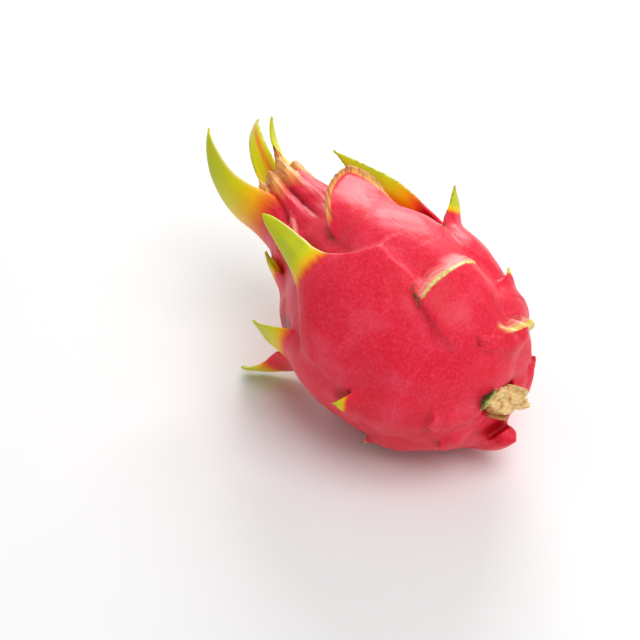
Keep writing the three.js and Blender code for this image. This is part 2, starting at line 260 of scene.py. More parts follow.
# %% The scales that show in front
front_scales = dict(
    broad=dict(NEVER, az=-9, root=0, hug=41, free=10, width=34, lift=0, dive=-42, slant=0.12, rise=4.6,
               shoulder=0.5, point=8, blunt=0.25, tip_thickness=6.5, rim=2.0, rim_left=-1.1, burn=1,
               burn_from=0.74, melt=4, melt_free=1.2, sink=2.6, sink_lean=0.6),
    beak=dict(az=-61, root=22, hug=51, free=43.4, width=50, lift=-4, curl=20.4, rise=3.4, sway=0.5,
              bow=3.7, base=0.97, shoulder=0.41, point=0.89, blunt=2.9, tip_width=10.4, tip_from=0.72,
              tip_thickness=2.2, turn=0.54, ripe=0.7, pale=0.8, keel=0.6, melt=5, sink=1.2),
    hood=dict(NEVER, shoulder=0.45, point=3, blunt=0.7, az=-2, root=38, hug=40.6, free=31, width=38.3,
              lift=18, curl=-3, skew=14.8, sway=-5, rise=3.2, lip=5, lip_out=2.6, lip_from=0.66,
              dry_rim=4.4, burn=0.5, burn_from=0.66, melt=6),
    long_blade=dict(LANCE, az=69.6, root=34, hug=30, free=69.7, width=18, lift=-0.5, curl=-8.4,
                    sway=-9.7, bow=1, twist=50, cup=0, turn=0.5, ripe=0.78, stripe=0.9, keel=0.4,
                    sink=0, burn=0.5, burn_from=0.4),
    upright=dict(LANCE, az=34.5, root=24, hug=32, free=18.5, width=20, lift=46, curl=8, point=1.6,
                 blunt=0.85, rise=2.6, turn=0.76, ripe=0.85, burn=0.5, burn_from=0.45),
    shoulder_tip=dict(az=34, root=7, hug=17.4, free=9.8, width=34, lift=17.7, sway=-1.3, skew=2,
                      point=1.2, blunt=1.2, rise=0.5, turn=0.88, ripe=0.97),
    folded=dict(NEVER, az=6, root=-1, hug=12, free=11, width=30, lift=26, dive=-85, dive_from=0.25,
                rise=4.6, shoulder=0.5, blunt=0.35, point=7, tip_thickness=5, rim=3.4, rim_left=-0.4,
                folds=3, fold_depth=1.0, melt=2.5, sink=2.4, sink_lean=0.8, burn=0.8, burn_from=0.8),
    left_streamer=dict(az=-70, root=102, hug=12, free=56, width=25, lift=61, curl=-58, sway=2.8,
                       bow=-9.7, shoulder=0.38, point=1.62, cup=0.06, turn=0.26, ripe=0.75, pale=0.8),
    yellow_streamer=dict(STREAMER, az=150, root=118, hug=12, free=66, width=10.5, lift=-12, curl=89,
                         sway=-6.6, bow=1.4, skew=-2.5, point=2.3, turn=-0.2, ripe=0.9, stripe=1,
                         stripe_at=-0.3, burn=0.6, burn_from=0.3),
    thin_streamer=dict(STREAMER, az=49.4, root=110, hug=18, free=36.6, width=14, lift=-27, curl=82,
                       rise=0.6, sway=-3.8, bow=1.7, turn=0.1, ripe=0.9),
    dry_lobe=dict(NEVER, az=4, root=116, hug=19, free=12.6, width=10.5, lift=4, curl=18, sway=-1.8,
                  bow=-1.4, blunt=0.8, rise=1, dry=0.8, burn=0.9, burn_from=0.7, tip_thickness=2.4,
                  dark_from=0.78),
    flake=dict(NEVER, az=48.5, root=104, hug=26, free=9.6, width=21, lift=-13.6, sway=-16.3, skew=14.5,
               rise=0.3, tip_thickness=1.2, pale=0.6, dry_rim=1.2, sink=1),
    small_flake=dict(NEVER, az=-70, root=90, hug=22, free=5, width=7, lift=4, sway=8, rise=1.0, pale=1,
                     sink=1),
    far_finger=dict(FINGER, az=92.5, root=-0.5, hug=3.2, free=2.4, width=14, lift=-13, sway=-9.5,
                    rise=1, root_thickness=5, sink=0),
)
prop_scales = dict(
    prop_left=dict(LANCE, az=138, root=44, hug=26, free=42, width=36, lift=67, curl=-22),
    prop_right=dict(LANCE, az=-152, root=42, hug=26, free=42, width=36, lift=67, curl=-22, point=1.5),
)

# %% [markdown]
# The other scales grow in tiers, evenly over an arc, each a little off its place and size. The unevenness
# is a sine of the scale's number, so it is the same each time and the same as in the solids.

# %% The scales in tiers
TIERS = [
    (116, 142, 2, dict(FINGER, root=1, hug=5, free=4, width=12, lift=18)),
    (-138, -98, 2, dict(FINGER, root=1, hug=8, free=5, width=12, lift=12)),
    (92, 134, 2, dict(root=8, hug=26, free=10, width=34, lift=22, blunt=0.9, turn=0.84, ripe=0.97)),
    (-150, -98, 2, dict(root=8, hug=26, free=10, width=34, lift=22, blunt=0.9, turn=0.84, ripe=0.97)),
    (108, 108, 1, dict(root=40, hug=32, free=26, width=38, lift=22, point=1.3)),
    (-110, -110, 1, dict(root=36, hug=32, free=26, width=38, lift=22, point=1.3)),
    (85, 235, 4, dict(root=74, hug=22, free=22, width=26, lift=20, point=1.3)),
    (90, 235, 3, dict(root=100, hug=20, free=20, width=18, lift=16, point=1.3, turn=0.5, ripe=0.8)),
    (-60, -10, 2, dict(root=124, hug=13, free=4, width=8, lift=4, rise=0.5, blunt=0.8, dry=1, turn=2)),
]
UNEVEN_AZ, UNEVEN_ROOT, UNEVEN_SIZE = 5.0, 2.0, 0.12


def uneven(k, number):
    return math.sin(12.9 * k + 78.2 * number + 1.3)


tier_scales = {}
for number, (start, end, count, given) in enumerate(TIERS):
    for k in range(count):
        size = 1 + UNEVEN_SIZE * uneven(k, number + 0.5)
        tier_scales[f"tier_{number}_{k}"] = dict(
            given,
            az=start + k * (end - start) / max(count - 1, 1) + UNEVEN_AZ * uneven(k, number),
            root=given["root"] + UNEVEN_ROOT * uneven(k, number + 0.25),
            free=given["free"] * size,
            width=given["width"] * size,
        )
print(len(front_scales) + len(prop_scales) + len(tier_scales), "scales")


# %% [markdown]
# The middle line of a scale's outer face: it starts a little below the skin, rises over it, and then
# leaves it with its own heading. Each point of a plane through the axis is near one place of this line,
# so place and depth go into a table, as with the body.

# %% A scale's middle line and table
LINE_POINTS = 120
TABLE_REACH = 9.0


def follow_body(scale):
    """Places, headings and free parts along the middle line of a scale."""
    length = scale["hug"] + scale["free"]
    step = length / LINE_POINTS
    along, direction = scale["root"], 0.0
    places, headings, frees = [], [], []
    place = np.zeros(2)
    for i in range(LINE_POINTS + 1):
        s = i * step
        free = min(max((s - scale["hug"]) / scale["free"], 0), 1)
        if s <= scale["hug"]:
            direction = math.atan2(radius_at(along + 0.5) - radius_at(along - 0.5), 1)
            heading = direction
            risen = float(ease(s / (SCALE_RISES_OVER * scale["hug"])))
            above = mix(-SCALE_ROOT_DEPTH, scale["rise"], risen)
            place = np.array([
                along - math.sin(direction) * above,
                radius_at(along) + math.cos(direction) * above,
            ])
            along += math.cos(direction) * step
        else:
            lifted = scale["lift"] * float(ease(free / scale["lift_over"]))
            dived = scale["dive"] * float(ease((free - scale["dive_from"]) / 0.05))
            heading = direction + math.radians(lifted + scale["curl"] * free**1.5 + dived)
            place = place + step * np.array([math.cos(heading), math.sin(heading)])
        places.append(place)
        headings.append(heading)
        frees.append(free)
    return np.array(places), np.array(headings), np.array(frees)


def prepare(given, line=None):
    """A scale with its table, its width and thickness along its length, and its reach."""
    scale = dict(SCALE, **given)
    places, headings, frees = line or follow_body(scale)
    count = len(places) - 1
    tangents = np.stack([np.cos(headings), np.sin(headings)], 1)
    normals = np.stack([-tangents[:, 1], tangents[:, 0]], 1)
    table = Table(places.min(0) - TABLE_REACH, places.max(0) + TABLE_REACH)
    nearest = np.concatenate([
        ((chunk[:, None] - places[None]) ** 2).sum(-1).argmin(1)
        for chunk in np.array_split(table.points, 20)
    ])
    offset = table.points - places[nearest]
    run = (offset * tangents[nearest]).sum(1)
    spacing = np.linalg.norm(places[1] - places[0])
    place = np.clip(nearest + np.clip(run / spacing, -0.5, 0.5), 0, count) / count
    over = np.where(nearest == count, np.maximum(run, 0), 0)
    scale["table"] = table.keep(place, -(offset * normals[nearest]).sum(1), over)
    part = np.linspace(0, 1, count + 1)
    past = np.clip((part - scale["shoulder"]) / (1 - scale["shoulder"]), 0, 1)
    widening = scale["base"] + (1 - scale["base"]) * ease(part / scale["shoulder"])
    half = scale["width"] / 2 * widening * (1 - past ** scale["point"]) ** scale["blunt"]
    scale["part"] = part
    if scale["tip_width"]:
        tip = np.clip((part - scale["tip_from"]) / (1 - scale["tip_from"]), 0, 1)
        half = np.sqrt(half**2 + (scale["tip_width"] / 2) ** 2 * (1 - tip**1.6) * ease(part * 2))
    scale["half"] = np.maximum(half, 0.6)
    scale["slope"] = np.abs(np.gradient(scale["half"], spacing))
    scale["thick"] = mix(scale["tip_thickness"], scale["root_thickness"], (1 - part) ** 1.5)
    scale["frees"] = frees
    scale["round"] = (1 - ease(frees)) / (radius_at(places[:, 0]) + 2) + ease(frees) * scale["cup"]
    bowed = scale["bow"] * np.sin(math.pi * part)
    scale["middle"] = scale["sway"] * part**2 + scale["skew"] * part**5 + bowed
    scale["length"] = spacing * count
    scale["low"], scale["high"] = places.min(0), places.max(0)
    scale["side"] = np.abs(scale["middle"]).max() + scale["half"].max()
    return scale


def arc_line(start, heading, turn, length, count=40):
    """A middle line that starts anywhere and turns evenly: for lobes that don't follow the body."""
    part = np.linspace(0, 1, count + 1)
    headings = np.radians(heading + turn * part)
    steps = length / count * np.stack([np.cos(headings), np.sin(headings)], 1)
    places = np.array(start, float) + np.vstack([np.zeros(2), np.cumsum(steps[:-1], 0)])
    return places, headings, np.ones(count + 1)


scales = {name: prepare(given) for name, given in {**front_scales, **prop_scales, **tier_scales}.items()}
scales["front_finger"] = prepare(
    dict(FINGER, az=164, width=12, base=0.9, shoulder=0.3, blunt=0.5, root_thickness=9, tip_thickness=7,
         hug=12, free=10, wave=0, sink=0, melt_free=2.5),
    arc_line((3.0, 25.5), 211, 32, 14),
)

# %% [markdown]
# The distance itself works like that of a box with rounded edges: depth through the blade, distance to
# its margin, and distance past its tip. A lip turns the margin outwards, sides sink into the skin, and
# folds run along the blade. The function also tells where on the scale a point is, for the colours.

# %% Distance to one scale
NEAR = 7.5  # no form matters farther away; the tables reach a little farther
BODY_WIDTH = 90.0


def drop(scale):
    """How much lower a scale's side margins are than its middle, round the body."""
    return scale["side"] ** 2 / BODY_WIDTH


def near_scale(scale, points):
    """Which points are near enough to the scale to matter, and their place in its own plane."""
    turn = math.radians(scale["az"])
    out = points[:, 0] * math.cos(turn) + points[:, 1] * math.sin(turn)
    side = points[:, 1] * math.cos(turn) - points[:, 0] * math.sin(turn)
    along = points[:, 2]
    near = (
        (np.abs(side) < scale["side"] + NEAR)
        & (out > scale["low"][1] - NEAR - drop(scale))
        & (out < scale["high"][1] + NEAR)
        & (along > scale["low"][0] - NEAR)
        & (along < scale["high"][0] + NEAR)
    )
    return np.flatnonzero(near), out, side, along


def scale_distance(scale, out, side, along):
    place, depth, over = scale["table"].read(along - scale["slant"] * side, out)

    def there(key):
        return np.interp(place, scale["part"], scale[key]).astype(np.float32)

    half, slope, thick, free = there("half"), there("slope"), there("thick"), there("frees")
    wavy = 1 + scale["wave"] * np.sin(9 * place + scale["az"]) * ease(place * 2 - 0.6)
    aside = side - there("middle")
    if scale["twist"]:
        turned_by = math.radians(scale["twist"]) * ease(free * 1.5)
        depth, aside = (
            depth * np.cos(turned_by) - aside * np.sin(turned_by),
            aside * np.cos(turned_by) + depth * np.sin(turned_by),
        )
    across = np.clip(aside / half, -1.3, 1.3)
    to_margin = (half * wavy - np.abs(aside)) / np.sqrt(1 + np.minimum(slope, 4) ** 2)
    depth = depth - there("round") * side**2 / 2
    lean = 1 + scale["sink_lean"] * across
    depth = depth - scale["sink"] * lean * np.abs(across) ** 3 * (1 - ease(free * 1.5))
    stretch = 1.0
    if scale["lip"]:
        share = np.clip(1 - to_margin / scale["lip"], 0, 1.2) * ease((place - scale["lip_from"]) / 0.2)
        depth = depth + scale["lip_out"] * share**2
        stretch = np.sqrt(1 + (2 * scale["lip_out"] / scale["lip"] * share) ** 2)
    if scale["folds"]:
        wave = np.cos(math.pi * scale["folds"] * across + 3 * place)
        depth = depth + scale["fold_depth"] * wave * ease(place * 1.6 - 0.3)
    if scale["keel"]:
        depth = depth + scale["keel"] * np.exp(-((aside / 2.2) ** 2)) * ease(free * 2)
    thick = thick * (1 - 0.5 * np.minimum(across, 1) ** 2) * stretch
    through = (np.abs(depth - thick / 2) - thick / 2) / stretch
    edge = np.minimum(thick / stretch / 2, 0.6)
    a, b, c = through + edge, edge - to_margin, over + edge - 0.6
    outside = np.sqrt(np.maximum(a, 0) ** 2 + np.maximum(b, 0) ** 2 + np.maximum(c, 0) ** 2)
    distance = outside + np.minimum(np.maximum(np.maximum(a, b), c), 0) - edge
    return distance, dict(
        place=place, depth=depth, thick=thick, across=across, margin=to_margin, free=free, aside=aside,
    )


def melt(first, second, width):
    """Smooth union of two distances, and the share of the second one."""
    share = np.clip(0.5 + 0.5 * (first - second) / width, 0, 1)
    return mix(first, second, share) - width * share * (1 - share), share


def melt_width(scale, where):
    """Wide where the scale grows out of the skin, narrow where it is free."""
    hugged = where["place"] * scale["length"] / scale["hug"]
    return mix(scale["melt"], scale["melt_free"], ease((hugged - 0.55) / 0.5))


# %% [markdown]
# ## From distances to a mesh
# The distances are worked out on a grid of points, and the surface goes where they change sign. A surface
# net puts one point into each grid cell that the surface crosses, at the middle of the crossings, and joins
# the points of neighbouring cells. It gives even quads without the stair steps of a voxel remesh.

# %% Surface net
def surface_net(field, low, step):
    """Points and quads where the field changes sign. The field is positive on its border."""
    cells, crossings, flips = [], [], []
    shape = np.array(field.shape)
    strides = np.array([shape[1] * shape[2], shape[2], 1])
    for axis in range(3):
        head = [slice(None)] * 3
        tail = [slice(None)] * 3
        head[axis], tail[axis] = slice(None, -1), slice(1, None)
        a, b = field[tuple(head)], field[tuple(tail)]
        at = np.argwhere((a < 0) != (b < 0))
        first, second = a[tuple(at.T)], b[tuple(at.T)]
        crossing = at.astype(float)
        crossing[:, axis] += first / (first - second)
        u, v = (axis + 1) % 3, (axis + 2) % 3
        corner = at @ strides
        around = np.stack([
            corner - strides[u] - strides[v], corner - strides[v], corner, corner - strides[u],
        ], 1)
        cells.append(around)
        crossings.append(np.repeat(crossing[:, None], 4, 1))
        flips.append(first > 0)
    cells, crossings, flips = np.concatenate(cells), np.concatenate(crossings), np.concatenate(flips)
    _, number = np.unique(cells.ravel(), return_inverse=True)
    count = np.bincount(number)
    flat = crossings.reshape(-1, 3)
    points = np.stack([np.bincount(number, flat[:, k]) / count for k in range(3)], 1)
    quads = number.reshape(-1, 4)
    quads[flips] = quads[flips][:, ::-1]
    return points * step + low, quads


def mesh_from(name, points, faces):
    mesh = bpy.data.meshes.new(name)
    mesh.vertices.add(len(points))
    mesh.vertices.foreach_set("co", np.asarray(points, np.float32).ravel())
    width = faces.shape[1]
    mesh.loops.add(faces.size)
    mesh.loops.foreach_set("vertex_index", faces.ravel().astype(np.int32))
    mesh.polygons.add(len(faces))
    mesh.polygons.foreach_set("loop_start", np.arange(0, faces.size, width, dtype=np.int32))
    mesh.update(calc_edges=True)
    mesh.validate()
    return mesh


def put_in_scene(name, data):
    made = bpy.data.objects.new(name, data)
    bpy.context.scene.collection.objects.link(made)
    return made


def thinned(name, points, faces, triangles):
    """The surface with about that many triangles: fewer where it is flat."""
    mesh = mesh_from(name + "_dense", points, faces)
    dense = put_in_scene(name + "_dense", mesh)
    now = 2 * len(faces)
    if now > triangles:
        thin = dense.modifiers.new("fewer triangles", "DECIMATE")
        thin.ratio = triangles / now
    made = bpy.data.meshes.new_from_object(dense.evaluated_get(bpy.context.evaluated_depsgraph_get()))
    bpy.data.objects.remove(dense)
    bpy.data.meshes.remove(mesh)
    print(name, "dense:", now, "triangles, kept:", sum(len(p.vertices) - 2 for p in made.polygons))
    return made


# %% A grid that forms are added to
def corners(scale):
    """Box of a scale in the straight fruit, with room for blending."""
    turn = math.radians(scale["az"])
    out = np.array([scale["low"][1] - drop(scale), scale["high"][1]])
    side = np.array([-scale["side"], scale["side"]])
    o, s = np.meshgrid(out, side)
    x = o * math.cos(turn) - s * math.sin(turn)
    y = o * math.sin(turn) + s * math.cos(turn)
    return (
        np.array([x.min(), y.min(), scale["low"][0]]) - NEAR,
        np.array([x.max(), y.max(), scale["high"][0]]) + NEAR,
    )


class Grid:
    """Distances at evenly spaced points of a box."""

    def __init__(self, low, high, step, form):
        self.low, self.step = np.array(low, float), step
        self.shape = np.ceil((np.array(high) - self.low) / step).astype(int) + 1
        self.axes = [(self.low[k] + step * np.arange(self.shape[k])).astype(np.float32) for k in range(3)]
        self.field = np.empty(tuple(self.shape), np.float32)
        x, y = np.meshgrid(self.axes[0], self.axes[1], indexing="ij")
        level = np.stack([x.ravel(), y.ravel(), np.zeros(x.size)], 1).astype(np.float32)
        for k, along in enumerate(self.axes[2]):
            level[:, 2] = along
            self.field[:, :, k] = form(level).reshape(x.shape)

    def grow(self, scale):
        """Melts a scale into what is there."""
        box_low, box_high = corners(scale)
        first = np.maximum(((box_low - self.low) / self.step).astype(int), 0)
        last = np.minimum(((box_high - self.low) / self.step).astype(int) + 1, self.shape)
        part = tuple(slice(first[k], last[k]) for k in range(3))
        points = np.stack(np.meshgrid(*(self.axes[k][part[k]] for k in range(3)), indexing="ij"), -1)
        points = points.reshape(-1, 3)
        near, out, side, along = near_scale(scale, points)
        distance, where = scale_distance(scale, out[near], side[near], along[near])
        block = self.field[part].ravel()
        block[near], _ = melt(block[near], distance, melt_width(scale, where))
        self.field[part] = block.reshape(self.field[part].shape)

    def surface(self, name, triangles):
        points, quads = surface_net(self.field, self.low, self.step)
        return thinned(name, points, quads, triangles)

    def read(self, points):
        """The distance at any points, from the eight grid points round each."""
        at = np.clip((points - self.low) / self.step, 0, self.shape - 1.001)
        cell = at.astype(int)
        f = at - cell
        total = 0.0
        for a in (0, 1):
            for b in (0, 1):
                for c in (0, 1):
                    share = abs(1 - a - f[:, 0]) * abs(1 - b - f[:, 1]) * abs(1 - c - f[:, 2])
                    total = total + share * self.field[cell[:, 0] + a, cell[:, 1] + b, cell[:, 2] + c]
        return total


# %% The fruit's surface
FRUIT_STEP, QUICK_STEP = 0.62, 0.8
FRUIT_TRIANGLES = 192_000
BODY_FROM, BODY_TO = (-48, -48, -5), (48, 48, 146)

boxes = [corners(scale) for scale in scales.values()]
fruit_grid = Grid(
    np.minimum(np.min([b[0] for b in boxes], 0), BODY_FROM),
    np.maximum(np.max([b[1] for b in boxes], 0), BODY_TO),
    FRUIT_STEP,
    body_distance,
)
for scale in scales.values():
    fruit_grid.grow(scale)
print("grid:", fruit_grid.field.shape)
fruit_mesh = fruit_grid.surface("fruit_skin", FRUIT_TRIANGLES)


# %% [markdown]
# ## Where each colour belongs
# The skin is pink to red on the body, turns orange and then lime on the scales, and dries to tan on the
# crown's rim. One more walk over the scales, now with the mesh's own points, writes these as named
# numbers on the points. The material reads them and adds its own fine unevenness.

# %% Numbers on the points
def three_each(rows, name):
    flat = np.empty(len(rows) * 3, np.float32)
    rows.foreach_get(name, flat)
    return flat.reshape(-1, 3)


def points_of(mesh):
    return three_each(mesh.vertices, "co")


def normals_of(mesh):
    return three_each(mesh.vertex_normals, "vector")


def write_number(mesh, name, values):
    layer = mesh.attributes.new(name, "FLOAT", "POINT")
    layer.data.foreach_set("value", np.asarray(values, np.float32))


def write_vector(mesh, name, values):
    layer = mesh.attributes.new(name, "FLOAT_VECTOR", "POINT")
    layer.data.foreach_set("vector", np.asarray(values, np.float32).ravel())


STRIPE_WIDTH = 0.22
GRAIN_STRETCH = 0.12
# painted shade: creases are found by looking out along the normal this far
CREASE_SHADE_REACH = (3.5, 7.0)  # how far out it is looked for the other side of a valley


def scale_marks(scale, where):
    """The scale's colour numbers at its points."""
    place, across, margin = where["place"], where["across"], where["margin"]
    gone = np.clip((place - scale["turn"]) / (scale["ripe"] - scale["turn"]), 0, 1.3)
    rim = 0.0 * place
    pale = scale["pale"] * ease((1.0 - margin) / 0.9) * ease(place * 4 - 1.6) * ease((0.93 - place) / 0.06)
    if scale["rim"]:
        crease = (scale["hug"] + scale["dive_from"] * scale["free"]) / (scale["hug"] + scale["free"])
        past = (place - crease) * scale["length"] * (1 + 0.2 * np.sin(5 * across))
        dived = ease(past / 0.4 + 0.5) * ease((across - scale["rim_left"]) / 0.3)
        rim = dived * ease((scale["rim"] - past) / 0.8 + 0.5)
        # the pale cream bands past the crease are partly the turned-in face's own colour and partly painted
        # highlight
        bands = 0.6 + 0.4 * np.cos(3.4 * (past - scale["rim"]) - 2)
        pale = 1.2 * dived * bands * ease((scale["rim"] + 6 - past) / 6)
        margin = np.minimum(margin, 0.1 + 0.6 * np.abs(past))
    burnt = scale["burn"] * ease((0.85 - np.abs(margin - 0.1)) / 0.6)
    burnt = burnt * ease((place - scale["burn_from"]) / 0.15) * ease(place * 3 - 1)
    dry = scale["dry"] + 0.7 * ease((place - scale["dark_from"]) / 0.2)
    if scale["dry_rim"]:
        dry = ease((scale["dry_rim"] - margin) / scale["dry_rim"] * 1.6) * ease((place - 0.6) / 0.2)
    stripe = scale["stripe"] * np.exp(-(((across - scale["stripe_at"]) / STRIPE_WIDTH) ** 2))
    stripe = stripe * ease(2.6 - 2.6 * place) * ease(gone / 0.15)
    return dict(ripening=gone, rim=rim, burnt=burnt, dry=dry, stripe=stripe, pale=pale)


def paint(mesh):
    points = points_of(mesh)
    normals = normals_of(mesh)
    # painted shade: how shut in each point is, so that creases between scales are painted darker
    openness = [fruit_grid.read(points + away * normals) / away for away in CREASE_SHADE_REACH]
    write_number(mesh, "crease_shade", np.clip(1 - np.minimum(*openness), 0, 1))
    azimuth, _, along = round_axis(points)
    nearest = body_distance(points)
    names = ("ripening", "rim", "burnt", "dry", "stripe", "pale")
    marks = {name: np.zeros(len(points), np.float32) for name in names}
    wave = rib_wave(azimuth, along)
    marks["dry"] = np.clip((along - 110 + 5 * wave) / 30, 0, 1) ** 1.5
    grain = np.stack([azimuth * 25, along * GRAIN_STRETCH, 0 * along], 1)
    bare = np.ones(len(points), np.float32)
    for number, scale in enumerate(scales.values()):
        near, out, side, run = near_scale(scale, points)
        distance, where = scale_distance(scale, out[near], side[near], run[near])
        nearest[near], share = melt(nearest[near], distance, 1.2)
        share *= ease(where["place"] * scale["length"] / 12 - 0.4)
        bare[near] *= 1 - share
        for name, values in scale_marks(scale, where).items():
            marks[name][near] = mix(marks[name][near], values, share)
        lengthwise = where["place"] * scale["length"] * GRAIN_STRETCH
        own = np.stack([where["aside"], lengthwise, 0 * share + 37.0 * number], 1)
        grain[near] = np.where(share[:, None] > 0.5, own, grain[near])
    for name, values in marks.items():
        write_number(mesh, name, values)
    write_vector(mesh, "grain", grain)
    # painted shade: bare skin deep in a furrow of the tube
    write_number(mesh, "furrow", bare * ease((along - 98) / 14) * ease((0.62 - wave) / 0.5))
    return points


fruit_points = paint(fruit_mesh)


# %% [markdown]
# Skin is never perfectly round. Slow waves of a few tenths of a millimetre break up the reflections. They
# are sums of sines with seeded directions, so each run gives the same fruit.

# %% Soft unevenness
def ripple(points, size, seed, waves=9):
    """A smooth uneven number from about -1 to 1, with bumps of about that size."""
    random = np.random.default_rng(seed)
    total = np.zeros(len(points))
    for _ in range(waves):
        direction = random.normal(size=3)
        direction /= np.linalg.norm(direction)
        pace = 2 * math.pi / (size * random.uniform(1.2, 2.6))
        total += np.sin(points @ direction * pace + random.uniform(0, 6.28))
    return total / math.sqrt(waves)


def settle(mesh, points, bumps, name, node):
    """Adds the bumps, lays the points down, and makes the mesh a piece that stands for its node."""
    lying = lay_down(points + normals_of(mesh) * bumps[:, None])
    lying[:, 2] = np.maximum(lying[:, 2], 0)
    mesh.vertices.foreach_set("co", lying.astype(np.float32).ravel())
    mesh.polygons.foreach_set("use_smooth", np.ones(len(mesh.polygons), bool))
    mesh.update()
    piece = put_in_scene(name, mesh)
    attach(piece, "root")
    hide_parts(node)
    print(name, "stands for", node, "with", len(mesh.polygons), "faces")
    return piece


bumps = 0.33 * ripple(fruit_points, 14, 1) + 0.096 * ripple(fruit_points, 4.5, 2)
calm = 1 - 0.6 * ease((fruit_points[:, 2] - 100) / 20)
fruit = settle(fruit_mesh, fruit_points, bumps * calm, "fruit_skin", "fruit")

# %% [markdown]
# ## The cut stem
# A stub of pale wood is left in the dimple: ridged along its sides, with a ring of scars where it grew on
# the fruit, a rough fibrous cut, and torn strips of its green skin. It is a distance field too, on a finer
# grid, so that the strips grow out of it without seams.

# %% The stub's form
STUB_END = -8.3
STUB_RADIUS = 5.4
CUT_PLACE, CUT_FACES = np.array([1.2, 1.6, -5.6]), np.array([0.37, -0.335, -0.866])
STUB_LEANS, STUB_LEANS_TOWARDS = 4.0, 60.0
SCARS_AT = -0.8
STUB_STEP, STUB_TRIANGLES = 0.34, 40_000


def stub_frame(points):
    """Azimuth and distance from the stub's own leaning axis."""
    lean = STUB_LEANS * np.clip(points[:, 2] / STUB_END, 0, 1.3) ** 1.5
    towards = math.radians(STUB_LEANS_TOWARDS)
    x = points[:, 0] - lean * math.cos(towards)
    y = points[:, 1] - lean * math.sin(towards)
    return np.arctan2(y, x), np.hypot(x, y)


def cut_depth(points):
    """How far a point is outside the slanted, fibrous cut."""
    fibres = 0.22 * np.sin(2.9 * points[:, 0] + 1.3 * np.sin(1.7 * points[:, 1]) + points[:, 2])
    torn = 0.7 * np.sin(0.75 * points[:, 0] + 1) * np.sin(0.6 * points[:, 1] + 2)
    return (points - CUT_PLACE) @ CUT_FACES + fibres + torn


def stub_distance(points):
    azimuth, radius = stub_frame(points)
    along = points[:, 2]
    outside = ease(along / STUB_END * 3)
    scars = np.exp(-(((along - SCARS_AT) / 1.3) ** 2)) * (0.55 + 0.45 * np.sin(11 * azimuth + 1.5 * along))
    flutes = 0.55 * outside * np.cos(5 * azimuth + 0.6) + 0.2 * outside * np.sin(23 * azimuth + 0.4 * along)
    around = radius - (STUB_RADIUS + 0.9 * outside + flutes + 0.9 * scars)
    return np.maximum(np.maximum(around, cut_depth(points)), along - (DIMPLE_FLOOR - 0.2)) * 0.8


STRIP = dict(base=0.8, shoulder=0.3, point=2, blunt=0.6, root_thickness=1.6, tip_thickness=0.9, melt=1.2,
             melt_free=0.7, wave=0.12, cup=0.05, hug=1, free=1)
strips = dict(
    green_flap=prepare(dict(STRIP, az=-62, width=12, point=1.4), arc_line((0.5, 4.8), 156, -62, 12)),
    torn_strip=prepare(dict(STRIP, az=48, width=8), arc_line((0.0, 5.0), 160, -12, 9)),
    low_strip=prepare(dict(STRIP, az=168, width=9), arc_line((0.5, 5.2), 165, -8, 8)),
)
stub_grid = Grid((-16, -16, -14), (18, 18, 7), STUB_STEP, stub_distance)
for strip in strips.values():
    stub_grid.grow(strip)
stub_mesh = stub_grid.surface("stem_stub", STUB_TRIANGLES)

# %% Numbers on the stub, and its place
stub_points = points_of(stub_mesh)
azimuth, radius = stub_frame(stub_points)
write_number(stub_mesh, "cut", ease((cut_depth(stub_points) + 1.3) / 0.9))
write_number(stub_mesh, "scar", np.exp(-(((stub_points[:, 2] - SCARS_AT) / 1.5) ** 2)))
green = np.zeros(len(stub_points))
near, out, side, along = near_scale(strips["green_flap"], stub_points)
distance, where = scale_distance(strips["green_flap"], out[near], side[near], along[near])
on_flap = ease((0.8 - distance) / 0.5)
on_margin, on_back = ease(1.3 - where["margin"]), ease(where["depth"] / where["thick"] * 2 - 1)
green[near] = on_flap * np.maximum(on_margin, on_back)
write_number(stub_mesh, "green", green)
write_vector(stub_mesh, "grain", np.stack([azimuth * 5, stub_points[:, 2] * 0.25, radius * 0.8], 1))
bumps = 0.16 * ripple(stub_points, 1.6, 5)
stub = settle(stub_mesh, stub_points, bumps, "stem_stub", "cut_stem")

# %% [markdown]
# ## The withered flower
# Deep in the tube sits what is left of the flower: a dry plug with shrivelled lobes. Each lobe is a thin
# scale with its own middle line, and crumpling is a ripple of small size along the normals.

# %% The flower's form
LOBES, LOBE_LENGTH, LOBE_AT = 6, 18.0, 6.6
PLUG_RADIUS, PLUG_TOP = 9.0, TUBE_FLOOR + 4
FLOWER_STEP, FLOWER_TRIANGLES = 0.4, 50_000


def plug_distance(points):
    azimuth, radius, along = round_axis(points)
    top = PLUG_TOP + 0.7 * np.sin(5 * azimuth) * radius / PLUG_RADIUS
    around = radius - PLUG_RADIUS - 0.3 * np.sin(9 * azimuth)
    return np.maximum(np.maximum(around, along - top), TUBE_FLOOR - 0.4 - along)


flower_grid = Grid((-15, -15, TUBE_FLOOR - 3), (15, 15, 158), FLOWER_STEP, plug_distance)
for k in range(LOBES):
    length = LOBE_LENGTH * (1 + 0.25 * uneven(k, len(TIERS)))
    lobe = dict(STRIP, az=360 / LOBES * k, width=10, base=1, shoulder=0.02, point=3, blunt=0.6,
                folds=3, fold_depth=0.4, melt=1.5, cup=0.14)
    line = arc_line((TUBE_FLOOR + 1, LOBE_AT), 26 + 6 * uneven(k, 3), -105 + 25 * uneven(k, 4), length)
    flower_grid.grow(prepare(lobe, line))
flower_mesh = flower_grid.surface("dry_flower", FLOWER_TRIANGLES)
flower_points = points_of(flower_mesh)
azimuth, _, along = round_axis(flower_points)
write_number(flower_mesh, "tip", (along - TUBE_FLOOR) / 20)
write_vector(flower_mesh, "grain", np.stack([azimuth * 7, along * 0.2, 0 * azimuth], 1))
crumpled = 0.35 * ripple(flower_points, 2.4, 7) + 0.12 * ripple(flower_points, 1.0, 8)
flower = settle(flower_mesh, flower_points, crumpled, "dry_flower", "withered_flower")

# %% [markdown]
# ## Finishes
# Small helpers keep the node trees short: each makes one node and gives back its output.

